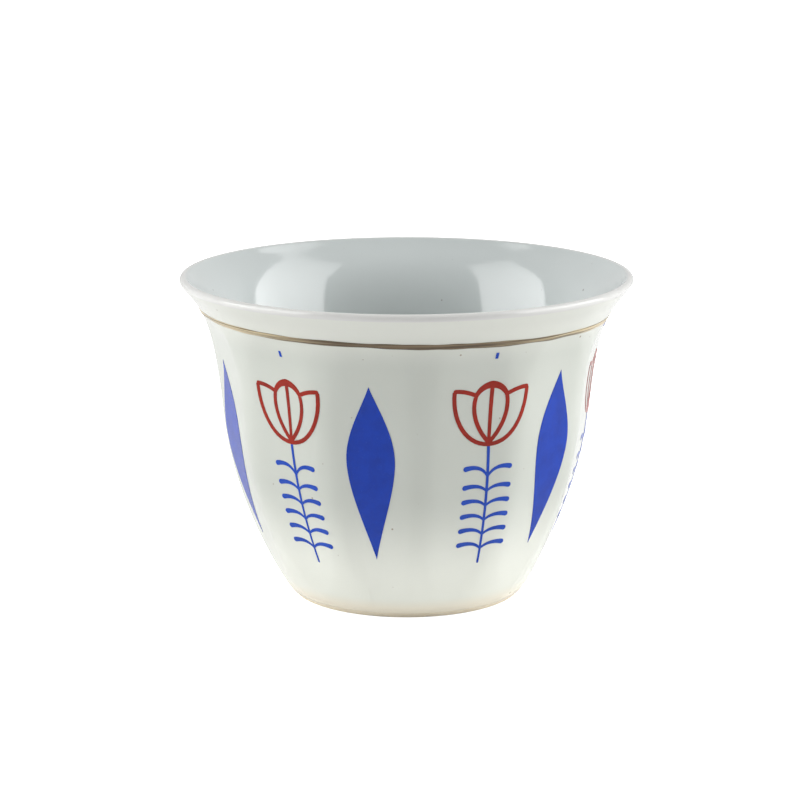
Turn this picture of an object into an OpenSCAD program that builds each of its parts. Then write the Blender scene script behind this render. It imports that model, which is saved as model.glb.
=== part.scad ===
// Small handleless coffee cup of fired porcelain, panelled wall, flared rim, printed and gilded.
// Millimetres. Z is up, the foot stands on Z = 0, and the front of the cup faces -Y.
// Angles round the cup are measured from the front and grow toward its right-hand side.

/* [Cup] */
// Height from the foot to the top of the lip
cup_h = 50.3; // [46:0.1:56]
// Outer diameter of the rim
rim_d = 70; // [66:0.5:76]
// Outer diameter of the glazed wall where it meets the foot
foot_d = 35.6; // [33:0.1:40]
// Lean of the wall at the foot, from upright
foot_lean = 34; // [28:1:40]
// Outer diameter at the waist, where the wall stands most upright
waist_d = 57.1; // [54:0.1:60]
// Height of the waist
waist_h = 29.3; // [26:0.1:32]
// Lean of the wall at the waist, from upright
waist_lean = 5.4; // [3:0.1:8]
// Lean of the flare at the lip, from upright
lip_lean = 37.6; // [30:0.1:42]
// Thickness of the rounded lip, glaze included
lip_t = 1.3; // [1.1:0.05:2]
// Thickness of the wall at the waist, glaze included
wall_t = 2.6; // [2.2:0.05:3.2]

/* [Panels] */
// Number of flat panels pressed round the wall
panels = 12; // [10:1:14]
// Half of the angle that one panel takes of the wall
panel_half_angle = 12; // [8:0.5:12.5]
// Height at which the rounded feet of the panels start
panel_bottom_h = 3.4; // [2.5:0.1:6]
// Drop from the top of the lip to where the panels run out under the flare
panel_top_drop = 4.7; // [4.3:0.1:6.3]
// Angle of the first ridge between two panels, from the front
ridge_turn = 4.5; // [0:0.5:30]

/* [Foot] */
// Inner diameter of the foot ring where it stands
well_d = 30.4; // [28:0.1:31]
// Depth of the well under the cup, up to its glaze
well_h = 2; // [1.5:0.1:2.6]
// Radius of the round between the ring and the floor of the well
well_round = 1; // [0.6:0.1:1.3]
// Thickness of the porcelain between the two glazed floors
floor_t = 3; // [2.4:0.1:4]
// Rounding of the bare outer edge of the foot
foot_round = 0.5; // [0.3:0.05:0.8]
// Height of the bare band that was wiped clean of glaze
dry_h = 0.9; // [0.6:0.1:1.4]

/* [Glaze] */
// Thickness of each glaze coat
glaze_t = 0.25; // [0.15:0.01:0.35]

/* [Gilding] */
// Drop from the top of the lip to the middle of the gold line
gilt_drop = 5.3; // [3.8:0.1:6.8]
// Width of the gold line
gilt_w = 1; // [0.6:0.1:1.6]
// Thickness of the gold line
gilt_t = 0.08; // [0.05:0.01:0.15]
// Tilt of the hand-drawn gold line, down toward the right
gilt_tilt = 0.9; // [0:0.1:1.5]

/* [Prints] */
// Times that the pattern comes round the cup
repeats = 6; // [5:1:6]
// Thickness of the printed colours
print_t = 0.1; // [0.08:0.01:0.16]
// Angle of the first leaf, from the front
leaf_turn = -10.4; // [-15:0.1:15]
// Angle from a leaf to the tulip on its right
tulip_turn = 34.6; // [30:0.1:38]
// Most that a hand-laid print sits off its even place, as an angle
laid_off = 3.5; // [0:0.1:4]

/* [Leaf] */
// Gap from the middle of the gold line down to the upper tip of the leaf
leaf_gap = 6.5; // [5:0.1:8]
// Length of the leaf
leaf_l = 27.7; // [22:0.1:29]
// Width of the leaf
leaf_w = 7.3; // [5:0.1:8]

/* [Tulip] */
// Gap from the middle of the gold line down to the top of the tulip
tulip_gap = 6.3; // [5:0.05:7]
// Height of the tulip itself, from its bottom to the crown
tulip_l = 10.15; // [8:0.05:11]
// Width of the tulip over its side petals
tulip_w = 12.3; // [10:0.1:12.6]
// Width of the thin lines of the tulip
tulip_line = 0.64; // [0.4:0.02:0.8]
// Width of the heavy line over the crown
crown_line = 1.15; // [0.8:0.05:1.4]

/* [Sprig] */
// Length of the stem below the tulip
stem_l = 19.1; // [17:0.1:19.5]
// Width of the stem where it leaves the tulip
stem_w = 0.46; // [0.3:0.02:0.6]
// Lean of the stem, down toward the right
stem_lean = 2.4; // [0:0.1:3]
// Pairs of leaflets on the stem
leaflet_pairs = 6; // [3:1:6]
// Length of the stem above the first pair
stem_bare_l = 4.45; // [3:0.05:5]
// Sideways reach of a leaflet
leaflet_l = 3.5; // [2.5:0.1:3.8]
// Width of the rounded end of a leaflet
leaflet_end_w = 0.66; // [0.4:0.02:0.8]

/* [Tick] */
// Gap from the middle of the gold line down to the middle of the tick
tick_gap = 2.3; // [1.8:0.1:3]
// Length of the tick
tick_l = 0.95; // [0.6:0.05:1.2]
// Width of the tick
tick_w = 0.45; // [0.3:0.05:0.6]

/* [Hidden] */
PRINTS = [for (k = [1:repeats]) k];

bisque = "#efeadb";
cream_glaze = "#e4e6df";
cool_glaze = "#cfd2d8";
gold = "#94805f";
brick_red = "#b93a26";
cobalt = "#2a46ad";

$fn = 96;
// Segments of the outline below the waist, above it and round the lip, and of a drawn line and its end
low_steps = 8;
high_steps = 10;
lip_steps = 12;
line_steps = 7;
tip_steps = 6;
// How far a cutting shape runs past what it cuts
overrun = 0.5;
// How far the ends of a panel cut stand clear of the round wall
panel_lift = 0.04;
// Handles of the outline's curves, as shares of the straight distance between their ends
low_handle_share = 1 / 3;
waist_handle_share = 0.78;
lip_handle_share = 0.19;
floor_handle_share = 0.61;
bowl_handle_share = 0.42;

lip_r = lip_t / 2;
lip_centre = [rim_d / 2 - lip_r, cup_h - lip_r];
floor_h = well_h + glaze_t + floor_t + glaze_t;
pitch = 360 / panels;
// Heights of the panels' tops, the gold line, the lower tip of a leaf, the bottom of a tulip and a tick
panel_top_h = cup_h - panel_top_drop;
gilt_h = cup_h - gilt_drop;
leaf_h = gilt_h - leaf_gap - leaf_l;
tulip_h = gilt_h - tulip_gap - tulip_l;
tick_h = gilt_h - tick_gap;

// Point at share t of a cubic curve with ends a and d and handles b and c
function on_curve(a, b, c, d, t) =
    a * pow(1 - t, 3) + b * 3 * pow(1 - t, 2) * t + c * 3 * (1 - t) * pow(t, 2) + d * pow(t, 3);
// Direction in which that curve runs there
function along_curve(a, b, c, d, t) =
    (b - a) * pow(1 - t, 2) + (c - b) * 2 * (1 - t) * t + (d - c) * pow(t, 2);
// Unit vector that leans outward by an angle from upright
function leaning(lean) = [sin(lean), cos(lean)];

// Stations [r, z, lean] of a wall curve between two points with a given lean and handle share at each
function wall(p, p_lean, p_share, q, q_lean, q_share, steps) =
    let (
        reach = norm(q - p),
        b = p + leaning(p_lean) * reach * p_share,
        c = q - leaning(q_lean) * reach * q_share
    )
    [for (i = [0:steps])
        let (at = on_curve(p, b, c, q, i / steps), way = along_curve(p, b, c, q, i / steps))
        [at.x, at.y, atan2(way.x, way.y)]];

// Point of the lip's round at an angle from level, outward first, for a coat a depth inside it
function lip_point(angle, depth) = lip_centre + (lip_r - depth) * [cos(angle), sin(angle)];
function lip_round(depth) =
    [for (i = [1:lip_steps - 1]) lip_point(180 * i / lip_steps - lip_lean, depth)];

// A station moved square to the wall: inward for the outer face, or outward when depth is negative
function moved(at, depth) = [at[0] - depth * cos(at[2]), at[1] + depth * sin(at[2])];

outer = concat(
    wall([foot_d / 2, 0], foot_lean, low_handle_share, [waist_d / 2, waist_h], waist_lean,
        low_handle_share, low_steps),
    [for (i = [1:high_steps])
        wall([waist_d / 2, waist_h], waist_lean, waist_handle_share, lip_point(-lip_lean, 0), lip_lean,
            lip_handle_share, high_steps)[i]]
);
inner = concat(
    wall([0, floor_h], 90, floor_handle_share, [waist_d / 2 - wall_t, waist_h], waist_lean,
        bowl_handle_share, low_steps),
    [for (i = [1:high_steps])
        wall([waist_d / 2 - wall_t, waist_h], waist_lean, waist_handle_share,
            lip_point(180 - lip_lean, 0), lip_lean, lip_handle_share, high_steps)[i]]
);
outer_last = len(outer) - 1;
inner_last = len(inner) - 1;

// Outer and inner face of the cup at a depth below the finished glaze
function outer_face(depth) = concat(
    [[foot_d / 2 - depth / cos(foot_lean), 0]],
    [for (i = [1:outer_last]) moved(outer[i], depth)]
);
function inner_face(depth) = [for (at = inner) moved(at, -depth)];
function backward(points) = [for (i = [len(points) - 1:-1:0]) points[i]];

// Radius and lean of the outer face at a height
function outer_r(z) = lookup(z, [for (at = outer) [at[1], at[0]]]);
function outer_lean(z) = lookup(z, [for (at = outer) [at[1], at[2]]]);
// Half of a panel's angle at a height: full in the middle, rounded off to nothing at both ends
function panel_angle(z) =
    let (from_middle = abs(2 * (z - panel_bottom_h) / (panel_top_h - panel_bottom_h) - 1))
    panel_half_angle * sqrt(max(0, 1 - pow(from_middle, 6)));
function panel_end(z) = [outer_r(z) + panel_lift, z, outer_lean(z)];
// A panel bends halfway between the bends of the wall, so that no two corners fall together
panel_stations = concat(
    [panel_end(panel_bottom_h)],
    [for (i = [0:outer_last - 1])
        let (at = (outer[i] + outer[i + 1]) / 2)
        if (at[1] > panel_bottom_h + overrun && at[1] < panel_top_h - overrun) at],
    [panel_end(panel_top_h)]
);
function panel_middle(k) = ridge_turn + pitch * (k + 0.5);
function nearest_panel(turn) = round((turn - ridge_turn) / pitch - 0.5);
// Angle at which a print that belongs at an even place was laid
function laid(turn) = turn + laid_off * sin(turn);
function leaf_at(k) = laid(leaf_turn + 360 / repeats * (k - 1));
function tulip_at(k) = laid(leaf_turn + tulip_turn + 360 / repeats * (k - 1));

// What one panel takes off the round wall, at a depth below the finished glaze
module panel_cut(k, depth) {
    flat = [for (at = panel_stations)
        let (p = moved(at, depth)) [p.x * cos(panel_angle(at[1])), p.y]];
    far = rim_d / 2 + overrun;
    rotate([0, 0, panel_middle(k) - 90])
        rotate([90, 0, 0])
            linear_extrude(height = waist_d * tan(pitch / 2), center = true)
                polygon(concat(flat, [[far, flat[len(flat) - 1].y], [far, flat[0].y]]));
}

// The outside of the cup as a solid, at a depth below the finished glaze
module solid_cup(depth) {
    top = lip_point(-lip_lean, glaze_t);
    difference() {
        rotate_extrude()
            polygon(concat([[0, 0]], outer_face(depth), [top, [0, top.y + depth]]));
        for (k = [0:panels - 1]) panel_cut(k, depth);
    }
}

module foot_ring_edge() {
    edge_r = foot_d / 2 - glaze_t / cos(foot_lean);
    rotate_extrude()
        difference() {
            translate([edge_r - foot_round, -overrun]) square([foot_round + overrun, foot_round + overrun]);
            translate([edge_r - foot_round, foot_round]) circle(r = foot_round);
        }
}

// The well under the cup, with its faces a coat inside the bare porcelain's
module well_space(coat) {
    well_r = well_d / 2 - coat;
    h = well_h + glaze_t - coat;
    round_r = well_round - coat;
    rotate_extrude() {
        translate([0, -overrun]) square([well_r, h - round_r + overrun]);
        square([well_r - round_r, h]);
        translate([well_r - round_r, h - round_r]) circle(r = round_r);
    }
}

module porcelain_body() {
    section = concat([[0, 0]], outer_face(glaze_t), lip_round(glaze_t), backward(inner_face(glaze_t)));
    color(bisque)
        difference() {
            rotate_extrude() polygon(section);
            for (k = [0:panels - 1]) panel_cut(k, glaze_t);
            foot_ring_edge();
            well_space(0);
        }
}

module outside_glaze() {
    color(cream_glaze)
        difference() {
            solid_cup(0);
            solid_cup(glaze_t);
            below_dry_height();
        }
}

module inside_glaze() {
    coat = concat(
        [lip_point(-lip_lean, 0)], lip_round(0), backward(inner_face(0)),
        inner_face(glaze_t), backward(lip_round(glaze_t)), [lip_point(-lip_lean, glaze_t)]
    );
    color(cool_glaze) rotate_extrude() polygon(coat);
}

module below_dry_height() {
    translate([0, 0, -overrun]) cylinder(d = rim_d, h = dry_h + overrun);
}

module foot_well_glaze() {
    color(cool_glaze)
        difference() {
            well_space(0);
            well_space(glaze_t);
            below_dry_height();
        }
}

module gilt_line() {
    color(gold)
        intersection() {
            difference() {
                solid_cup(-gilt_t);
                solid_cup(0);
            }
            translate([0, 0, gilt_h])
                rotate([0, gilt_tilt, 0])
                    cylinder(d = rim_d + overrun, h = gilt_w, center = true);
        }
}

// The stretch of the outside round one print, from one height to another, as a thick solid
module solid_patch(turn, from_h, to_h, depth, core) {
    span = 2 * pitch;
    // More than the tallest step of the outline, so that the patch runs past the print at both ends
    reach = cup_h / low_steps;
    face = [for (at = outer) if (at[1] > from_h - reach && at[1] < to_h + reach) moved(at, depth)];
    middle = nearest_panel(turn);
    difference() {
        rotate([0, 0, turn - 90 - span / 2])
            rotate_extrude(angle = span)
                polygon(concat([[core, face[0].y]], face, [[core, face[len(face) - 1].y]]));
        for (k = [middle - 1:middle + 1]) panel_cut(k, depth);
    }
}

// A drawing laid on the outside of the cup as a thin coat of colour
module laid_print(turn, from_h, to_h) {
    difference() {
        intersection() {
            solid_patch(turn, from_h, to_h, -print_t, foot_d / 2);
            rotate([90, 0, turn]) children();
        }
        solid_patch(turn, from_h, to_h, 0, foot_d / 2 - overrun);
    }
}

// A flat outline drawn out into a bar that reaches through the wall
module bar() {
    linear_extrude(height = rim_d / 2) children();
}

// A line with a round end along a cubic curve, with a width at each end
module drawn_line(a, b, c, d, from_w, to_w) {
    sides = [for (i = [0:line_steps])
        let (t = i / line_steps, way = along_curve(a, b, c, d, t))
        [on_curve(a, b, c, d, t), [-way.y, way.x] / norm(way) * (from_w + (to_w - from_w) * t) / 2]];
    tip_turn = atan2(d.y - c.y, d.x - c.x);
    tip = [for (i = [1:tip_steps - 1])
        d + to_w / 2 * [cos(tip_turn + 90 - 180 * i / tip_steps), sin(tip_turn + 90 - 180 * i / tip_steps)]];
    bar() polygon(concat([for (p = sides) p[0] + p[1]], tip, [for (p = backward(sides)) p[0] - p[1]]));
}

// Tulip, drawn from the middle of its bottom with its curves in shares of half its width and its length
module tulip_drawing() {
    size = [tulip_w / 2, tulip_l];
    line = tulip_line;
    low_share = line / 2 / tulip_l;
    cup_shares = [[0.95, 0.86], [0.97, 0.43], [0.58, low_share], [0, low_share]];
    top_shares = [[0.44, 0.8], [0.58, 0.84], [0.76, 0.87], [0.93, 0.87]];
    oval_shares = [[0.4, 0.76], [0.5, 0.5], [0.27, 0.22], [0, 0.06]];
    crown_shares = [[0.41, 0.76], [0.33, 0.88], [0.16, 0.945], [0, 0.945]];
    for (side = [-1, 1])
        for (shares = [cup_shares, top_shares, oval_shares, crown_shares]) {
            p = [for (share = shares) [side * size.x * share.x, size.y * share.y]];
            drawn_line(p[0], p[1], p[2], p[3], line, shares == crown_shares ? crown_line : line);
        }
    bar() translate([-line / 2, line]) square([line, tulip_l - crown_line - line / 2]);
}

// Sprig, drawn from the top of its stem
module sprig_drawing() {
    // Height that a leaflet climbs before it bows over, and the drop of its end, as shares of its reach
    rise_share = 0.3;
    first_rise_share = 0.48;
    drop_share = 0.08;
    // Width of the stem at its tip, as a share of its width at the tulip
    tip_share = 0.7;
    way = [sin(stem_lean), -cos(stem_lean)];
    pair_gap = (stem_l - stem_bare_l) / leaflet_pairs;
    drawn_line([0, 0], way * stem_l / 3, way * stem_l * 2 / 3, way * stem_l, stem_w, stem_w * tip_share);
    for (i = [0:leaflet_pairs - 1]) {
        joint = way * (stem_bare_l + pair_gap * i);
        rise = leaflet_l * (i == 0 ? first_rise_share : rise_share);
        for (side = [-1, 1])
            drawn_line(joint, joint + [side * leaflet_l / 4, rise], joint + [side * leaflet_l * 2 / 3, rise],
                joint + [side * leaflet_l, rise - leaflet_l * drop_share], stem_w * tip_share, leaflet_end_w);
    }
}

// Leaf, drawn from its lower tip
module leaf_drawing() {
    // Height of the widest place, and the handles of the curves below and above it, as shares of the length
    belly_share = 0.59;
    low_keep_share = 0.17;
    high_keep_share = 0.15;
    low_tip_share = 0.2;
    high_tip_share = 0.12;
    half = leaf_w / 2;
    belly = [half, leaf_l * belly_share];
    low = [for (i = [0:line_steps])
        on_curve([0, 0], [half / 3, leaf_l * low_tip_share], belly - [0, leaf_l * low_keep_share], belly,
            i / line_steps)];
    high = [for (i = [1:line_steps])
        on_curve(belly, belly + [0, leaf_l * high_keep_share], [half / 3, leaf_l * (1 - high_tip_share)],
            [0, leaf_l], i / line_steps)];
    side = concat(low, high);
    bar() polygon(concat(side, [for (p = backward(side)) if (p.x > 0) [-p.x, p.y]]));
}

module tulip_print(k) {
    color(brick_red)
        laid_print(tulip_at(k), tulip_h, tulip_h + tulip_l)
            translate([0, tulip_h]) tulip_drawing();
}

module sprig_print(k) {
    color(cobalt)
        laid_print(tulip_at(k), tulip_h - stem_l, tulip_h)
            translate([0, tulip_h]) sprig_drawing();
}

module leaf_print(k) {
    color(cobalt)
        laid_print(leaf_at(k), leaf_h, leaf_h + leaf_l)
            translate([0, leaf_h]) leaf_drawing();
}

module tick_print(k) {
    color(cobalt)
        laid_print(tulip_at(k), tick_h - tick_l, tick_h + tick_l)
            bar() translate([0, tick_h]) square([tick_w, tick_l], center = true);
}

porcelain_body();
outside_glaze();
inside_glaze();
foot_well_glaze();
gilt_line();
for (k = PRINTS) {
    tulip_print(k);
    sprig_print(k);
    leaf_print(k);
    tick_print(k);
}
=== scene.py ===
# Small coffee cup of glazed porcelain: a panelled wall, a flared rim, printed tulips and a gold line.
# Shapes are made in millimetres on the cup's axis and brought to metres when a piece is finished.
# Angles round the cup are degrees from its front, which faces -Y, and grow toward its right-hand side.
import bisect
import math

import bmesh
import bpy
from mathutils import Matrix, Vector, geometry, noise


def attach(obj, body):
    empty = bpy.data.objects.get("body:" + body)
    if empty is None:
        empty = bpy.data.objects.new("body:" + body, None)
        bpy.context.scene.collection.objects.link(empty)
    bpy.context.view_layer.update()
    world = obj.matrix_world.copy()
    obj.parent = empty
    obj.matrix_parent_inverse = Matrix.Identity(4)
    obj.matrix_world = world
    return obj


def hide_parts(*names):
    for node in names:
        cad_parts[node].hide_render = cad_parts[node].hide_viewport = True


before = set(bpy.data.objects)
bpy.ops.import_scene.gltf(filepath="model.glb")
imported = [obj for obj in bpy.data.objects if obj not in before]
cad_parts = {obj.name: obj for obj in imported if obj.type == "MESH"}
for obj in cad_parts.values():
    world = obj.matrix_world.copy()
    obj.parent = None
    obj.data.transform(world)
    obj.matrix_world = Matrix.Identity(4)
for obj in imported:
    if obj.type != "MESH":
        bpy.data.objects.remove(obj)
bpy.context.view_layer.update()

# Pressed cup.
# Hard white porcelain, pressed in a panelled mould and fired. It stays bare only on the foot ring, where
# the glaze was wiped off so that the cup didn't stick to the kiln shelf.
CUP_H = 50.3
RIM_R = 35.0
FOOT_R = 17.8
FOOT_LEAN = 34.0
WAIST_R = 28.55
WAIST_H = 29.3
WAIST_LEAN = 5.4
WALL_T = 2.6
LIP_R = 0.65
LIP_LEAN = 37.6
LIP_CENTRE = Vector((RIM_R - LIP_R, CUP_H - LIP_R))
GLAZE_T = 0.25
FLOOR_H = 5.5
WELL_R = 15.2
WELL_H = 2.0
WELL_ROUND = 1.0
WELL_CHAMFER = 0.15
FOOT_ROUND = 0.5
FOOT_EASE = 0.22
BARE_FROM_H = 1.2

# How far each end of the wall's curves holds its lean, as a share of the curve's reach
BELLY_HOLD = 1 / 3
FLARE_LOW_HOLD = 0.78
FLARE_HIGH_HOLD = 0.19
BOWL_FLOOR_HOLD = 0.61
BOWL_WAIST_HOLD = 0.42

PANELS = 12
PANEL_HALF = 12.0
PANEL_FOOT_H = 3.4
PANEL_TOP_H = 45.6
PANEL_SQUARENESS = 6
RIDGE_TURN = 4.5
# How softly the glaze runs over the edge of a panel, as a share of the wall's radius
PANEL_EDGE_SOFT = 0.0085

# Steps that the curves are drawn in
BELLY_STEPS = 26
FLARE_STEPS = 30
LIP_STEPS = 14
BOWL_FLARE_STEPS = 24
BOWL_STEPS = 34
FOOT_STEPS = 6
WELL_STEPS = 6
TURN_STEPS = 240


def bent(knots, steps):
    """Points along a flat cubic curve between its first and last knot."""
    return [p.to_2d() for p in geometry.interpolate_bezier(*[Vector(k).to_3d() for k in knots], steps + 1)]


def lean_way(lean):
    return Vector((math.sin(math.radians(lean)), math.cos(math.radians(lean))))


def wall_curve(low, low_lean, low_hold, high, high_lean, high_hold, steps):
    """Points of a wall between two heights, which leaves each with the given lean from upright."""
    reach = (high - low).length
    low_handle = low + lean_way(low_lean) * reach * low_hold
    high_handle = high - lean_way(high_lean) * reach * high_hold
    return bent((low, low_handle, high_handle, high), steps)


def lip_point(angle, coat=0.0):
    way = Vector((math.cos(math.radians(angle)), math.sin(math.radians(angle))))
    return LIP_CENTRE + way * (LIP_R - coat)


def lip_curve(coat=0.0):
    return [lip_point(180 * i / LIP_STEPS - LIP_LEAN, coat) for i in range(LIP_STEPS + 1)]


def set_in(points, coat):
    """The same outline moved square to itself, toward its left-hand side."""
    moved = []
    for i, point in enumerate(points):
        way = (points[min(i + 1, len(points) - 1)] - points[max(i - 1, 0)]).normalized()
        moved.append(point + Vector((-way.y, way.x)) * coat)
    return moved


waist = Vector((WAIST_R, WAIST_H))
waist_inside = Vector((WAIST_R - WALL_T, WAIST_H))
outer_line = wall_curve(Vector((FOOT_R, 0)), FOOT_LEAN, BELLY_HOLD, waist, WAIST_LEAN, BELLY_HOLD,
                        BELLY_STEPS)
outer_line.pop()
outer_line += wall_curve(waist, WAIST_LEAN, FLARE_LOW_HOLD, lip_point(-LIP_LEAN), LIP_LEAN, FLARE_HIGH_HOLD,
                         FLARE_STEPS)
outer_heights = [p.y for p in outer_line]
lip_line = lip_curve()
inner_line = wall_curve(Vector((0, FLOOR_H)), 90, BOWL_FLOOR_HOLD, waist_inside, WAIST_LEAN,
                        BOWL_WAIST_HOLD, BOWL_STEPS)
inner_line.pop()
inner_line += wall_curve(waist_inside, WAIST_LEAN, FLARE_LOW_HOLD, lip_point(180 - LIP_LEAN), LIP_LEAN,
                         FLARE_HIGH_HOLD, BOWL_FLARE_STEPS)
inner_line.reverse()


def wall_radius(height):
    """Radius of the glazed outside at a height, before the panels are pressed in."""
    i = min(max(bisect.bisect_left(outer_heights, height), 1), len(outer_line) - 1)
    low = outer_line[i - 1]
    high = outer_line[i]
    return low.x + (high.x - low.x) * (height - low.y) / (high.y - low.y)


def pressed_share(turn, height):
    """What the panels leave of the wall's radius: a flat in each panel, rounded off at its foot and top."""
    along = abs(2 * (height - PANEL_FOOT_H) / (PANEL_TOP_H - PANEL_FOOT_H) - 1)
    if along >= 1:
        return 1.0
    half = PANEL_HALF * math.sqrt(1 - along**PANEL_SQUARENESS)
    pitch = 360 / PANELS
    off = (turn - RIDGE_TURN) % pitch - pitch / 2
    flat = math.cos(math.radians(half)) / math.cos(math.radians(off))
    soft = PANEL_EDGE_SOFT * (half / PANEL_HALF) ** 2
    overlap = max(soft - abs(1 - flat), 0) / soft
    return min(1.0, flat) - overlap**2 * soft / 4


def turn_of(point):
    return math.degrees(math.atan2(point.x, -point.y))


def press_panels(points):
    for vert in points:
        share = pressed_share(turn_of(vert.co), vert.co.z)
        vert.co.x *= share
        vert.co.y *= share


def thrown(bm, line):
    """Turns an outline of radius and height once round the axis and returns the new vertices."""
    chain = [bm.verts.new((p.x, 0, p.y)) for p in line]
    edges = [bm.edges.new(pair) for pair in zip(chain, chain[1:])]
    before = set(bm.verts) - set(chain)
    bmesh.ops.spin(bm, geom=chain + edges, cent=(0, 0, 0), axis=(0, 0, 1), angle=math.tau, steps=TURN_STEPS,
                   use_merge=True)
    return [v for v in bm.verts if v not in before]


MM = 0.001
MERGE = 1e-4
SLIVER = 1e-5


def finished(bm, name, material, slot, *nodes, sharp=40):
    """Closes a piece's mesh, brings it to metres and lets it stand for its nodes."""
    bmesh.ops.remove_doubles(bm, verts=bm.verts, dist=MERGE)
    bmesh.ops.dissolve_degenerate(bm, dist=SLIVER, edges=bm.edges)
    bmesh.ops.recalc_face_normals(bm, faces=bm.faces)
    bmesh.ops.scale(bm, vec=(MM, MM, MM), verts=bm.verts)
    mesh = bpy.data.meshes.new(name)
    bm.to_mesh(mesh)
    bm.free()
    mesh.materials.append(material)
    for face in mesh.polygons:
        face.use_smooth = True
    mesh.set_sharp_from_angle(angle=math.radians(sharp))
    piece = bpy.data.objects.new(name, mesh)
    bpy.context.scene.collection.objects.link(piece)
    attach(piece, "root")
    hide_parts(*nodes)


def colour(code):
    """An sRGB hex value as the linear colour that the shader takes."""
    parts = [int(code[i:i + 2], 16) / 255 for i in (1, 3, 5)]
    return [c / 12.92 if c <= 0.04045 else ((c + 0.055) / 1.055) ** 2.4 for c in parts] + [1.0]


def new_material(name):
    material = bpy.data.materials.new(name)
    material.use_nodes = True
    return material, material.node_tree, material.node_tree.nodes["Principled BSDF"]


def add(tree, kind, settings=None, inputs=None, links=None):
    """Adds a node with its settings, input values and links from other nodes' outputs."""
    node = tree.nodes.new(kind)
    for key, value in (settings or {}).items():
        setattr(node, key, value)
    for key, value in (inputs or {}).items():
        node.inputs[key].default_value = value
    for key, source in (links or {}).items():
        tree.links.new(source, node.inputs[key])
    return node


# Unglazed hard porcelain: matt, a little warmer than the glaze, with the fine tooth of a sanded foot ring.
# The tooth is 0.15 mm and faint stains are 4 mm across, as on a foot that has stood on kiln sand.
bisque, tree, shader = new_material("unglazed_porcelain")
place = add(tree, "ShaderNodeTexCoord").outputs["Object"]
stain = add(tree, "ShaderNodeTexNoise", None, {"Scale": 250.0, "Detail": 4.0, "Roughness": 0.6},
            {"Vector": place})
stained = add(tree, "ShaderNodeMix", {"data_type": "RGBA"}, None, {"Factor": stain.outputs["Fac"]})
stained.inputs["A"].default_value = colour("#fdf5e4")
stained.inputs["B"].default_value = colour("#f6ead0")
tree.links.new(stained.outputs["Result"], shader.inputs["Base Color"])
tooth = add(tree, "ShaderNodeTexNoise", None, {"Scale": 6500.0, "Detail": 2.0}, {"Vector": place})
tooth_bump = add(tree, "ShaderNodeBump", None, {"Strength": 0.35, "Distance": 0.00004},
                 {"Height": tooth.outputs["Fac"]})
tree.links.new(tooth_bump.outputs["Normal"], shader.inputs["Normal"])
shader.inputs["Roughness"].default_value = 0.72
shader.inputs["IOR"].default_value = 1.5

bare_outer = [p for p in set_in(outer_line, GLAZE_T) if p.y > BARE_FROM_H]
bare_lip = lip_curve(GLAZE_T)
bare_inner = set_in(inner_line, GLAZE_T)
bare_inner[-1].x = 0
foot_edge = FOOT_R - GLAZE_T / math.cos(math.radians(FOOT_LEAN))
foot_line = [Vector((foot_edge - FOOT_ROUND, 0))]
for step in range(1, FOOT_STEPS + 1):
    angle = math.radians((90 - FOOT_LEAN) * step / FOOT_STEPS - 90)
    ease = FOOT_EASE * step / FOOT_STEPS
    foot_line.append(Vector((foot_edge - FOOT_ROUND + FOOT_ROUND * math.cos(angle) + ease,
                             FOOT_ROUND + FOOT_ROUND * math.sin(angle))))
well_line = [Vector((0, WELL_H + GLAZE_T))]
for step in range(WELL_STEPS + 1):
    angle = math.radians(90 - 90 * step / WELL_STEPS)
    well_line.append(Vector((WELL_R - WELL_ROUND + WELL_ROUND * math.cos(angle),
                             WELL_H + GLAZE_T - WELL_ROUND + WELL_ROUND * math.sin(angle))))
well_edge = [Vector((WELL_R, WELL_CHAMFER)), Vector((WELL_R + WELL_CHAMFER, 0))]
cup = bmesh.new()
press_panels(thrown(cup, bare_outer))
thrown(cup, [bare_outer[-1]] + bare_lip)
thrown(cup, [bare_lip[-1]] + bare_inner)
thrown(cup, well_line + well_edge + foot_line + [bare_outer[0]])
finished(cup, "pressed_cup", bisque, "bisque", "porcelain_body")

# Glaze outside.
# A warm, faintly green white feldspar glaze, dipped and fired. It pools a little, so its face is gently
# wavy, and it carries iron specks of 0.2 mm. It ends in a soft edge above the wiped foot.
DRY_H = 0.9
# The edge of the coat thins out over this depth and this height
EDGE_THIN = 0.16
EDGE_ROUND = 0.05
EDGE_H = 0.3


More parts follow.
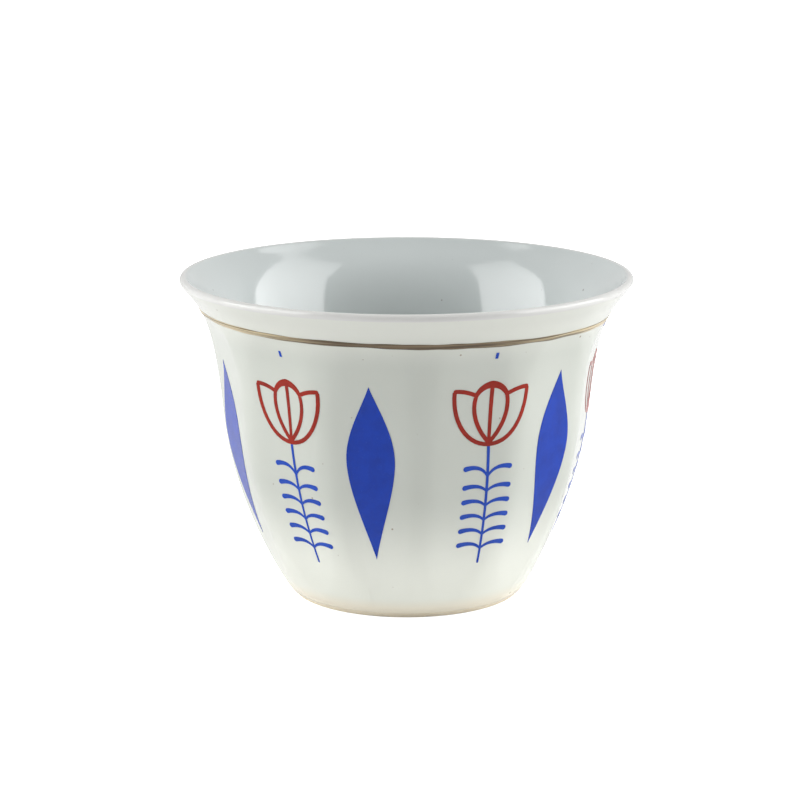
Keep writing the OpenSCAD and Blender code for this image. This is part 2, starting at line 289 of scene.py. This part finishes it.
def glaze_finish(name, face_hex, pool_hex, speck_hex, thin_glaze_and_painted_light_tints):
    """Glossy fired glaze, with a lighter tint for each listed height or radius range in millimetres: where
    the glaze runs thin, and where painted light lifts its colour.
    """
    material, tree, shader = new_material(name)
    place = add(tree, "ShaderNodeTexCoord").outputs["Object"]
    # Cloudy tint where the glaze lies thicker, 12 mm across
    cloud = add(tree, "ShaderNodeTexNoise", None, {"Scale": 80.0, "Detail": 2.0, "Roughness": 0.4},
                {"Vector": place})
    tint = add(tree, "ShaderNodeMix", {"data_type": "RGBA"}, None, {"Factor": cloud.outputs["Fac"]})
    tint.inputs["A"].default_value = colour(face_hex)
    tint.inputs["B"].default_value = colour(pool_hex)
    flat = add(tree, "ShaderNodeVectorMath", {"operation": "MULTIPLY"}, {1: (1, 1, 0)}, {0: place})
    outward = add(tree, "ShaderNodeVectorMath", {"operation": "LENGTH"}, None, {0: flat.outputs["Vector"]})
    upward = add(tree, "ShaderNodeSeparateXYZ", None, None, {"Vector": place})
    measures = {"height": upward.outputs["Z"], "radius": outward.outputs["Value"]}
    tinted = tint.outputs["Result"]
    for measure, start, end, tint_hex in thin_glaze_and_painted_light_tints:
        share = add(tree, "ShaderNodeMapRange", {"interpolation_type": "SMOOTHSTEP"},
                    {"From Min": start * MM, "From Max": end * MM}, {"Value": measures[measure]})
        lightened = add(tree, "ShaderNodeMix", {"data_type": "RGBA"}, None,
                   {"Factor": share.outputs["Result"], "A": tinted})
        lightened.inputs["B"].default_value = colour(tint_hex)
        tinted = lightened.outputs["Result"]
    # Specks lie in a few of the 2 mm cells of a Voronoi pattern, each a dot round the cell's point
    cells = add(tree, "ShaderNodeTexVoronoi", None, {"Scale": 500.0, "Randomness": 1.0}, {"Vector": place})
    lot = add(tree, "ShaderNodeSeparateColor", None, None, {"Color": cells.outputs["Color"]})
    size = add(tree, "ShaderNodeMapRange", None,
               {"From Min": 0.62, "From Max": 1.0, "To Min": 0.0, "To Max": 0.1},
               {"Value": lot.outputs["Red"]})
    edge = add(tree, "ShaderNodeMath", {"operation": "SUBTRACT"}, None,
               {0: size.outputs["Result"], 1: cells.outputs["Distance"]})
    dot = add(tree, "ShaderNodeMapRange", None, {"From Min": -0.01, "From Max": 0.03, "To Max": 0.8},
              {"Value": edge.outputs["Value"]})
    specked = add(tree, "ShaderNodeMix", {"data_type": "RGBA"}, None,
                  {"Factor": dot.outputs["Result"], "A": tinted})
    specked.inputs["B"].default_value = colour(speck_hex)
    tree.links.new(specked.outputs["Result"], shader.inputs["Base Color"])
    # Slow waves of 9 mm under a fine orange peel of 1.2 mm, both only a few microns deep
    wave = add(tree, "ShaderNodeTexNoise", None, {"Scale": 110.0, "Detail": 1.0}, {"Vector": place})
    wave_bump = add(tree, "ShaderNodeBump", None, {"Strength": 0.3, "Distance": 0.0003},
                    {"Height": wave.outputs["Fac"]})
    peel = add(tree, "ShaderNodeTexNoise", None, {"Scale": 800.0, "Detail": 1.0}, {"Vector": place})
    peel_bump = add(tree, "ShaderNodeBump", None, {"Strength": 0.12, "Distance": 0.00005},
                    {"Height": peel.outputs["Fac"], "Normal": wave_bump.outputs["Normal"]})
    pit_bump = add(tree, "ShaderNodeBump", {"invert": True}, {"Strength": 0.5, "Distance": 0.00005},
                   {"Height": dot.outputs["Result"], "Normal": peel_bump.outputs["Normal"]})
    tree.links.new(pit_bump.outputs["Normal"], shader.inputs["Normal"])
    shader.inputs["Roughness"].default_value = 0.1
    shader.inputs["IOR"].default_value = 1.56
    return material


def thickened(bm, thickness):
    """Joins the seam of a skin, turns its faces outwards and gives it a thickness along them."""
    bmesh.ops.remove_doubles(bm, verts=bm.verts, dist=MERGE)
    bmesh.ops.recalc_face_normals(bm, faces=bm.faces)
    bmesh.ops.solidify(bm, geom=bm.faces[:], thickness=thickness)


# Painted light: the flare and the lower wall are painted lighter as a painted reflection of the bright
# floor, which leaves the middle of the wall darker
# Toward the foot it is warmer where the warm body shows through thin glaze, and is also painted lighter
# there against the shade near the floor
cream_glaze = glaze_finish("cream_feldspar_glaze", "#d6dad2", "#cfd3ca", "#9b8c76",
                           [("height", 41, 47, "#e9ebe2"), ("height", 22, 7, "#f4f6ec"),
                            ("height", 4, 0.9, "#f7efdc")])
coat_line = [Vector((wall_radius(DRY_H) - EDGE_THIN, DRY_H)),
             Vector((wall_radius(DRY_H + EDGE_ROUND) - EDGE_ROUND, DRY_H + EDGE_ROUND))]
coat_line += [p for p in outer_line if p.y > DRY_H + EDGE_H]
coat = bmesh.new()
press_panels(thrown(coat, coat_line))
thickened(coat, -GLAZE_T)
finished(coat, "outside_coat", cream_glaze, "outside_glaze", "outside_glaze")

# Glaze inside.
# A cooler white glaze, poured in and swirled out. It wraps over the lip as far as its outer edge, and is
# thin, pale and a little warmer there.
cool_glaze = glaze_finish("cool_feldspar_glaze", "#d3d9d8", "#ccd2d1", "#8f8a86",
                          [("radius", 33.9, 34.3, "#e4e4e1")])
coat = bmesh.new()
thrown(coat, lip_line + inner_line[1:])
thickened(coat, GLAZE_T)
finished(coat, "inside_coat", cool_glaze, "inside_glaze", "inside_glaze")

# Glaze in the foot well.
# The same glaze as inside, left in the shallow well under the cup when its ring was wiped.
well_face = set_in(well_line, -GLAZE_T)
well_face[0] = Vector((0, WELL_H))
well_rim = [Vector((WELL_R - GLAZE_T, DRY_H)), Vector((WELL_R, DRY_H))]
coat = bmesh.new()
thrown(coat, well_face + well_rim + list(reversed(well_line)))
finished(coat, "well_coat", cool_glaze, "inside_glaze", "foot_well_glaze")

# Printed decoration.
# Colours screened on a transfer, laid on the glaze by hand and fired until they sink in. Each motif is a
# film of colour that follows the panels, drawn flat from the middle and then laid round the wall.
REPEATS = 6
LEAF_TURN = -10.4
TULIP_LEAD = 34.6
LAID_OFF = 3.5
LAID_HIGH = 0.28
FILM_OVER = 0.045
FILM_UNDER = 0.06
CUT_STEP = 0.8


def laid_turn(turn):
    return turn + LAID_OFF * math.sin(math.radians(turn))


def across(way):
    return Vector((-way.y, way.x))


def ribbon(bm, sides):
    """Draws one edge along a row of places for its two ends."""
    start = [bm.verts.new(p.to_3d()) for p in sides[0]]
    edge = bm.edges.new(start)
    for left, right in sides[1:]:
        grown = bmesh.ops.extrude_edge_only(bm, edges=[edge])["geom"]
        edge = [g for g in grown if isinstance(g, bmesh.types.BMEdge)][0]
        near, far = edge.verts
        if (near.co - far.co).dot((left - right).to_3d()) <= 0:
            near, far = far, near
        near.co = left.to_3d()
        far.co = right.to_3d()


def brush_line(bm, knots, from_w, to_w, steps=14, end_steps=5):
    """A drawn line with a round end, as a ribbon along a cubic curve that widens or narrows evenly."""
    points = bent(knots, steps)
    stations = []
    for i, point in enumerate(points):
        way = (points[min(i + 1, steps)] - points[max(i - 1, 0)]).normalized()
        stations.append((point, way, (from_w + (to_w - from_w) * i / steps) / 2))
    end, way, half = stations[-1]
    for i in range(1, end_steps + 1):
        angle = math.radians(84 * i / end_steps)
        stations.append((end + way * half * math.sin(angle), way, half * math.cos(angle)))
    ribbon(bm, [(p + across(w) * h, p - across(w) * h) for p, w, h in stations])


def united(bm):
    """Makes one flat sheet of triangles out of the overlapping flat ribbons in a mesh."""
    corners = [v.co.to_2d() for v in bm.verts]
    place = {v: i for i, v in enumerate(bm.verts)}
    outlines = []
    for face in bm.faces:
        outline = [place[v] for v in face.verts]
        if face.normal.z < 0:
            outline.reverse()
        outlines.append(outline)
    made = geometry.delaunay_2d_cdt(corners, [], outlines, 1, MERGE)
    sheet = bmesh.new()
    verts = [sheet.verts.new(at.to_3d()) for at in made[0]]
    for triangle, covered_by in zip(made[2], made[5]):
        if covered_by:
            sheet.faces.new([verts[i] for i in triangle])
    bmesh.ops.delete(sheet, geom=[v for v in sheet.verts if not v.link_faces], context="VERTS")
    return sheet


def flat_film(name, lines):
    """Unites the lines of a motif into one flat film and cuts it finely enough to bend round the wall."""
    bm = bmesh.new()
    for line in lines:
        line(bm)
    bm.normal_update()
    if len(lines) > 1:
        drawn = bm
        bm = united(drawn)
        drawn.free()
    bmesh.ops.recalc_face_normals(bm, faces=bm.faces)
    grown = bmesh.ops.extrude_face_region(bm, geom=bm.faces[:])["geom"]
    raised = [g for g in grown if isinstance(g, bmesh.types.BMVert)]
    bmesh.ops.translate(bm, vec=(0, 0, 1), verts=raised)
    bmesh.ops.recalc_face_normals(bm, faces=bm.faces)
    bmesh.ops.remove_doubles(bm, verts=bm.verts, dist=MERGE)
    for axis in (0, 1):
        low = min(v.co[axis] for v in bm.verts)
        high = max(v.co[axis] for v in bm.verts)
        cuts = math.floor((high - low) / CUT_STEP)
        for i in range(1, cuts + 1):
            cut_at = [0, 0, 0]
            cut_at[axis] = low + (high - low) * i / (cuts + 1)
            cut_way = [0, 0, 0]
            cut_way[axis] = 1
            bmesh.ops.bisect_plane(bm, geom=bm.verts[:] + bm.edges[:] + bm.faces[:], plane_co=cut_at,
                                   plane_no=cut_way)
    bmesh.ops.triangulate(bm, faces=[f for f in bm.faces if len(f.verts) > 4])
    flat = bpy.data.meshes.new(name + "_film")
    bm.to_mesh(flat)
    bm.free()
    return flat


def on_wall(side, height, turn, stand):
    """The place on the outside of a point drawn beside a print's middle, a distance off the glaze."""
    radius = wall_radius(height)
    at = math.degrees(side / radius)
    for _ in range(3):
        now = radius * pressed_share(turn + at, height)
        at = math.degrees(math.asin(side / now))
    lean = wall_radius(height + 0.5) - wall_radius(height - 0.5)
    normal = Vector((1, -lean)).normalized() * stand
    radius = radius * pressed_share(turn + at, height) + normal.x
    angle = math.radians(turn + at)
    return Vector((radius * math.sin(angle), -radius * math.cos(angle), height + normal.y))


def lay_print(flat, name, turn, height, material, slot, node):
    bm = bmesh.new()
    bm.from_mesh(flat)
    height += LAID_HIGH * math.sin(math.radians(2 * turn))
    for vert in bm.verts:
        stand = FILM_OVER if vert.co.z > 0.5 else -FILM_UNDER
        vert.co = on_wall(vert.co.x, height + vert.co.y, turn, stand)
    finished(bm, name, material, slot, node, sharp=35)


def print_finish(name, main_hex, deep_hex, light_hex):
    """Fired on-glaze colour: a softer gloss than the glaze, and the uneven density of a screened film."""
    material, tree, shader = new_material(name)
    place = add(tree, "ShaderNodeTexCoord").outputs["Object"]
    # Uneven ink, 2.5 mm across
    mottle = add(tree, "ShaderNodeTexNoise", None, {"Scale": 400.0, "Detail": 3.0, "Roughness": 0.6},
                 {"Vector": place})
    ink = add(tree, "ShaderNodeValToRGB", None, None, {"Fac": mottle.outputs["Fac"]})
    ink.color_ramp.elements[0].position = 0.3
    ink.color_ramp.elements[0].color = colour(deep_hex)
    ink.color_ramp.elements[1].position = 0.62
    ink.color_ramp.elements[1].color = colour(main_hex)
    # The dots of the screen, 0.35 mm apart, drawn coarser than they are so that they show
    grain = add(tree, "ShaderNodeTexNoise", None, {"Scale": 2900.0, "Detail": 2.0}, {"Vector": place})
    lightened = add(tree, "ShaderNodeMapRange", None, {"From Min": 0.62, "From Max": 0.82, "To Max": 0.35},
               {"Value": grain.outputs["Fac"]})
    film = add(tree, "ShaderNodeMix", {"data_type": "RGBA"}, None,
               {"Factor": lightened.outputs["Result"], "A": ink.outputs["Color"]})
    film.inputs["B"].default_value = colour(light_hex)
    tree.links.new(film.outputs["Result"], shader.inputs["Base Color"])
    bump = add(tree, "ShaderNodeBump", None, {"Strength": 0.15, "Distance": 0.00002},
               {"Height": grain.outputs["Fac"]})
    tree.links.new(bump.outputs["Normal"], shader.inputs["Normal"])
    shader.inputs["Roughness"].default_value = 0.2
    shader.inputs["IOR"].default_value = 1.36
    return material


cobalt_print = print_finish("cobalt_overglaze", "#043db6", "#0337a6", "#2653c0")
# The same cobalt lies thinner in narrow lines and is lighter there
cobalt_line = print_finish("cobalt_overglaze_line", "#1e4dbf", "#1846b2", "#466ecd")
red_print = print_finish("iron_red_overglaze", "#a21f06", "#8e1b05", "#b64f38")

# Leaves.
# Solid cobalt spindles between the flowers, pointed at both ends and widest above the middle. Each is one
# closed shape on the transfer, screened in a single pass.
LEAF_H = 10.8
LEAF_L = 27.7
LEAF_HALF = 3.65
LEAF_TIP = 0.01
BELLY_H = LEAF_L * 0.59
LEAF_LOW = [(0, 0), (LEAF_HALF / 3, LEAF_L * 0.2), (LEAF_HALF, BELLY_H - LEAF_L * 0.17),
            (LEAF_HALF, BELLY_H)]
LEAF_HIGH = [(LEAF_HALF, BELLY_H), (LEAF_HALF, BELLY_H + LEAF_L * 0.15), (LEAF_HALF / 3, LEAF_L * 0.88),
             (0, LEAF_L)]


def leaf_shape(bm):
    edge = bent(LEAF_LOW, 24) + bent(LEAF_HIGH, 18)[1:]
    edge[0].x = edge[-1].x = LEAF_TIP
    ribbon(bm, [(Vector((-p.x, p.y)), Vector((p.x, p.y))) for p in edge])


leaf_film = flat_film("leaf", [leaf_shape])
for k in range(REPEATS):
    turn = laid_turn(LEAF_TURN + 360 / REPEATS * k)
    n = k + 1
    lay_print(leaf_film, f"leaf_{n}", turn, LEAF_H, cobalt_print, "blue_print", f"leaf_print_{n}")

# Tulips.
# Brick red outlines of a cup-shaped flower with an oval middle petal, its vein, and a heavier crown. They
# are drawn with one pen width and screened as a colour of their own, over the top of each sprig.
TULIP_H = 28.55
TULIP_L = 10.15
TULIP_HALF = 6.15
TULIP_LINE = 0.64
CROWN_LINE = 1.15
PETAL_FOOT = TULIP_LINE / 2 / TULIP_L
# Knots of the right-hand half as shares of half the width and of the length, with the width each ends in
PETALS = [
    ([(0.95, 0.86), (0.97, 0.43), (0.58, PETAL_FOOT), (0, PETAL_FOOT)], TULIP_LINE),
    ([(0.44, 0.8), (0.58, 0.84), (0.76, 0.87), (0.93, 0.87)], TULIP_LINE),
    ([(0.4, 0.76), (0.5, 0.5), (0.27, 0.22), (0, 0.06)], TULIP_LINE),
    ([(0.41, 0.76), (0.33, 0.88), (0.16, 0.945), (0, 0.945)], CROWN_LINE),
]


def petal_line(shares, side, end_w):
    knots = [(side * TULIP_HALF * x, TULIP_L * y) for x, y in shares]
    return lambda bm: brush_line(bm, knots, TULIP_LINE, end_w)


def vein_line(bm):
    knots = [(0, TULIP_L * share) for share in (0.05, 0.35, 0.65, 0.92)]
    brush_line(bm, knots, TULIP_LINE * 0.8, TULIP_LINE)


petal_lines = [petal_line(shares, side, end_w) for side in (-1, 1) for shares, end_w in PETALS]
tulip_film = flat_film("tulip", petal_lines + [vein_line])

# Sprigs.
# A cobalt stem under each tulip with six pairs of bowed leaflets that end in a soft round. Stem and
# leaflets are thin pen lines on the transfer, so the colour is lighter in them than in the leaves.
STEM_L = 19.1
STEM_W = 0.46
STEM_LEAN = 2.4
PAIRS = 6
BARE_L = 4.8
LEAFLET_L = 3.5
LEAFLET_END_W = 0.8
LEAFLET_BOW = 0.3
TOP_LEAFLET_BOW = 0.48
LEAFLET_DROP = 0.08
TIP_W = STEM_W * 0.7
stem_way = Vector((math.sin(math.radians(STEM_LEAN)), -math.cos(math.radians(STEM_LEAN))))


def stem_line(bm):
    brush_line(bm, [stem_way * STEM_L * share for share in (0, 1 / 3, 2 / 3, 1)], STEM_W, TIP_W)


def leaflet_line(pair, side):
    joint = stem_way * (BARE_L + (STEM_L - BARE_L) / PAIRS * pair)
    rise = LEAFLET_L * (TOP_LEAFLET_BOW if pair == 0 else LEAFLET_BOW)
    knots = [joint,
             joint + Vector((side * LEAFLET_L / 4, rise)),
             joint + Vector((side * LEAFLET_L * 2 / 3, rise)),
             joint + Vector((side * LEAFLET_L, rise - LEAFLET_L * LEAFLET_DROP))]
    return lambda bm: brush_line(bm, knots, TIP_W, LEAFLET_END_W)


leaflet_lines = [leaflet_line(pair, side) for pair in range(PAIRS) for side in (-1, 1)]
sprig_film = flat_film("sprig", [stem_line] + leaflet_lines)

# Ticks.
# A short cobalt stroke over each flower, the mark by which the transfer is set under the gold line. Each
# tick is printed with the flower and sprig below it and is laid with them.
TICK_H = 42.7
TICK_L = 0.95
TICK_W = 0.45


def tick_line(bm):
    ribbon(bm, [(Vector((-TICK_W / 2, h)), Vector((TICK_W / 2, h))) for h in (-TICK_L / 2, 0, TICK_L / 2)])


tick_film = flat_film("tick", [tick_line])
for k in range(REPEATS):
    turn = laid_turn(LEAF_TURN + TULIP_LEAD + 360 / REPEATS * k)
    n = k + 1
    lay_print(tulip_film, f"tulip_{n}", turn, TULIP_H, red_print, "red_print", f"tulip_print_{n}")
    lay_print(sprig_film, f"sprig_{n}", turn, TULIP_H, cobalt_line, "blue_print", f"sprig_print_{n}")
    lay_print(tick_film, f"tick_{n}", turn, TICK_H, cobalt_line, "blue_print", f"tick_print_{n}")

# Gold line.
# Bright gold lustre, drawn with a liner brush while the cup turned, a little tilted. It has worn to bronze,
# with streaks along the stroke where the brush ran thin.
GILT_H = 45.0
GILT_W = 1.0
GILT_T = 0.08
GILT_SUNK = 0.02
GILT_BACK = 0.05
GILT_TILT = 0.9
GILT_ROWS = 6
# The brush wanders by this much, and its width is this share of the line's, give or take a share
GILT_WANDER = 0.09
BRUSH_W = 0.8
BRUSH_W_CHANGE = 0.25
BRUSH_START = Vector((3.1, 7.7, 1.3))

gold, tree, shader = new_material("worn_gold_lustre")
place = add(tree, "ShaderNodeTexCoord").outputs["Object"]
# Streaks run round the cup: 0.12 mm apart in height and centimetres long
stretch = add(tree, "ShaderNodeMapping", None, {"Scale": (60.0, 60.0, 5200.0)}, {"Vector": place})
streak = add(tree, "ShaderNodeTexNoise", None, {"Scale": 1.0, "Detail": 3.0},
             {"Vector": stretch.outputs["Vector"]})
lustre = add(tree, "ShaderNodeValToRGB", None, None, {"Fac": streak.outputs["Fac"]})
lustre.color_ramp.elements[0].position = 0.35
lustre.color_ramp.elements[0].color = colour("#52483e")
lustre.color_ramp.elements[1].position = 0.68
lustre.color_ramp.elements[1].color = colour("#83745e")
# Painted highlight: toward the cup's two sides, left and right of its front, the thicker streaks of the
# line are painted bright, where the gold would mirror the soft boxes
sideways = add(tree, "ShaderNodeSeparateXYZ", None, None, {"Vector": place})
reach = add(tree, "ShaderNodeMath", {"operation": "ABSOLUTE"}, None, {0: sideways.outputs["X"]})
painted_side_sheen = add(tree, "ShaderNodeMapRange", {"interpolation_type": "SMOOTHSTEP"},
              {"From Min": 0.009, "From Max": 0.026}, {"Value": reach.outputs["Value"]})
thick_streaks = add(tree, "ShaderNodeMapRange", None,
             {"From Min": 0.38, "From Max": 0.56, "To Min": 0.15, "To Max": 1.0},
             {"Value": streak.outputs["Fac"]})
painted_sheen_on_streaks = add(tree, "ShaderNodeMath", {"operation": "MULTIPLY"}, None,
             {0: painted_side_sheen.outputs["Result"], 1: thick_streaks.outputs["Result"]})
bright = add(tree, "ShaderNodeMix", {"data_type": "RGBA"}, None,
             {"Factor": painted_sheen_on_streaks.outputs["Value"], "A": lustre.outputs["Color"]})
bright.inputs["B"].default_value = colour("#e0cfab")
tree.links.new(bright.outputs["Result"], shader.inputs["Base Color"])
shader.inputs["Metallic"].default_value = 0.85
shader.inputs["Roughness"].default_value = 0.28

line = bmesh.new()
ring = bmesh.ops.create_circle(line, segments=2 * TURN_STEPS, radius=RIM_R)
rows = [[(v, turn_of(v.co)) for v in ring["verts"]]]
edges = line.edges[:]
for row in range(GILT_ROWS + 1):
    grown = bmesh.ops.extrude_edge_only(line, edges=edges)["geom"]
    edges = [g for g in grown if isinstance(g, bmesh.types.BMEdge)]
    rows.append([(g, turn_of(g.co)) for g in grown if isinstance(g, bmesh.types.BMVert)])
for row, verts in enumerate(rows):
    share = 2 * row / (GILT_ROWS + 1) - 1
    for vert, turn in verts:
        angle = math.radians(turn)
        around = Vector((math.sin(angle), math.cos(angle), 0)) * 4
        wander = GILT_WANDER * noise.noise(around + BRUSH_START)
        width = GILT_W * (BRUSH_W + BRUSH_W_CHANGE * noise.noise(around * 2 - BRUSH_START))
        middle = GILT_H - math.tan(math.radians(GILT_TILT)) * WAIST_R * math.sin(angle) + wander
        stand = GILT_T * (1 - share**4) - GILT_SUNK
        vert.co = on_wall(0, middle + share * width / 2, turn, stand)
thickened(line, -GILT_BACK)
finished(line, "gold_line", gold, "gold_lustre", "gilt_line")

# Studio.
# A white sweep under and behind the cup, and one tall soft box on each side of it, turned to the cup.
FLOOR_SIZE = 6.0
floor_mesh = bmesh.new()
bmesh.ops.create_grid(floor_mesh, x_segments=1, y_segments=1, size=FLOOR_SIZE / 2)
mesh = bpy.data.meshes.new("sweep")
floor_mesh.to_mesh(mesh)
floor_mesh.free()
sweep = bpy.data.objects.new("sweep", mesh)
bpy.context.scene.collection.objects.link(sweep)


def mirrored_rays(tree):
    """The rays that come straight from the camera, and those that glossy or clear pieces send on."""
    rays = add(tree, "ShaderNodeLightPath")
    in_gloss = add(tree, "ShaderNodeMath", {"operation": "ADD"}, None,
                   {0: rays.outputs["Is Glossy Ray"], 1: rays.outputs["Is Transmission Ray"]})
    return rays.outputs["Is Camera Ray"], in_gloss.outputs["Value"]


# Matt white paper, which glows until the camera sees it white, and less so where the glaze mirrors it. It
# is clear from below, so that the foot can be looked at
GLOW_SEEN = 0.9
GLOW_MIRRORED = 0.2
paper, tree, shader = new_material("white_sweep_paper")
shader.inputs["Base Color"].default_value = colour("#fafafa")
shader.inputs["Roughness"].default_value = 0.9
seen, in_gloss = mirrored_rays(tree)
mirrored = add(tree, "ShaderNodeMath", {"operation": "MULTIPLY"}, {1: GLOW_MIRRORED}, {0: in_gloss})
glow_level = add(tree, "ShaderNodeMath", {"operation": "MULTIPLY_ADD"}, {1: GLOW_SEEN},
                 {0: seen, 2: mirrored.outputs["Value"]})
glow = add(tree, "ShaderNodeEmission", None, {"Color": (1, 1, 1, 1)},
           {"Strength": glow_level.outputs["Value"]})
both = add(tree, "ShaderNodeAddShader", None, None,
           {0: shader.outputs["BSDF"], 1: glow.outputs["Emission"]})
clear = add(tree, "ShaderNodeBsdfTransparent")
facing = add(tree, "ShaderNodeNewGeometry")
sided = add(tree, "ShaderNodeMixShader", None, None,
            {0: facing.outputs["Backfacing"], 1: both.outputs["Shader"], 2: clear.outputs["BSDF"]})
tree.links.new(sided.outputs["Shader"], tree.nodes["Material Output"].inputs["Surface"])
mesh.materials.append(paper)

# The room is pale behind the cup and dim in front of it, where the camera stands
ROOM_BACK = 0.14
ROOM_FRONT = 0.03
ROOM_MIRRORED = 0.75
room = bpy.data.worlds.new("room")
bpy.context.scene.world = room
room.use_nodes = True
tree = room.node_tree
back = tree.nodes["Background"]
way = add(tree, "ShaderNodeTexCoord").outputs["Generated"]
parts = add(tree, "ShaderNodeSeparateXYZ", None, None, {"Vector": way})
level = add(tree, "ShaderNodeMapRange", None,
            {"From Min": -0.6, "From Max": 0.3, "To Min": ROOM_FRONT, "To Max": ROOM_BACK},
            {"Value": parts.outputs["Y"]})
sheet = add(tree, "ShaderNodeMapRange", None,
            {"From Min": 0.0, "From Max": 0.6, "To Min": ROOM_FRONT, "To Max": ROOM_MIRRORED},
            {"Value": parts.outputs["Y"]})
seen, in_gloss = mirrored_rays(tree)
mirrored = add(tree, "ShaderNodeMix", None, None,
               {"Factor": in_gloss, "A": level.outputs["Result"], "B": sheet.outputs["Result"]})
white = add(tree, "ShaderNodeMix", None, {"B": 1.0}, {"Factor": seen, "A": mirrored.outputs["Result"]})
tree.links.new(white.outputs["Result"], back.inputs["Strength"])
back.inputs["Color"].default_value = (1, 1, 1, 1)

# The plane of each box stands nearest to the cup in this direction, at this distance
BOX_TURN = 78.0
BOX_DISTANCE = 0.6
BOX_BOTTOM_H = 0.1
# The lamp inside sits at this height, so the cloth is brightest there and dims to this share at its top
BOX_LAMP_H = 0.3
BOX_TOP_SHARE = 0.3
# For each side, how far back along that plane the box is, its width, its top and its power in watts
BOXES = {1: (0.12, 0.66, 1.19, 10.4), -1: (0.0, 0.56, 1.12, 8.3)}
for side, (set_back, width, top_h, power) in BOXES.items():
    lamp = bpy.data.lights.new("soft_box", "AREA")
    lamp.shape = "RECTANGLE"
    lamp.size = width
    lamp.size_y = top_h - BOX_BOTTOM_H
    lamp.energy = power
    lamp.use_nodes = True
    tree = lamp.node_tree
    cloth = add(tree, "ShaderNodeNewGeometry").outputs["Position"]
    up = add(tree, "ShaderNodeSeparateXYZ", None, None, {"Vector": cloth})
    dimming = add(tree, "ShaderNodeMapRange", None,
                  {"From Min": BOX_LAMP_H, "From Max": top_h, "To Min": 1.0, "To Max": BOX_TOP_SHARE},
                  {"Value": up.outputs["Z"]})
    tree.links.new(dimming.outputs["Result"], tree.nodes["Emission"].inputs["Strength"])
    box = bpy.data.objects.new("soft_box", lamp)
    bpy.context.scene.collection.objects.link(box)
    angle = math.radians(BOX_TURN)
    outward = Vector((side * math.sin(angle), -math.cos(angle), 0))
    along = Vector((side * math.cos(angle), math.sin(angle), 0))
    box.location = outward * BOX_DISTANCE + along * set_back + Vector((0, 0, (top_h + BOX_BOTTOM_H) / 2))
    box.rotation_euler = (-outward).to_track_quat("-Z", "Y").to_euler()

# Camera, 480 mm from the cup and 13 degrees above it, with its lens and shift in the picture's pixels
PICTURE_PX = 800
LENS_PX = 3070.8
SHIFT_X_PX = -6.51
SHIFT_Y_PX = 32.58
DISTANCE = 0.48
RAISE = math.radians(12.971)
AIM = Vector((0, 0, 0.025))
camera_data = bpy.data.cameras.new("camera")
camera = bpy.data.objects.new("camera", camera_data)
bpy.context.scene.collection.objects.link(camera)
camera.location = AIM + Vector((0, -DISTANCE * math.cos(RAISE), DISTANCE * math.sin(RAISE)))
camera.rotation_mode = "QUATERNION"
camera.rotation_quaternion = (AIM - camera.location).to_track_quat("-Z", "Y")
camera_data.sensor_width = 36.0
camera_data.lens = camera_data.sensor_width * LENS_PX / PICTURE_PX
camera_data.shift_x = SHIFT_X_PX / PICTURE_PX
camera_data.shift_y = SHIFT_Y_PX / PICTURE_PX
camera_data.clip_start = 0.01
camera_data.clip_end = 20.0
bpy.context.scene.camera = camera
bpy.context.scene.view_settings.view_transform = "Standard"
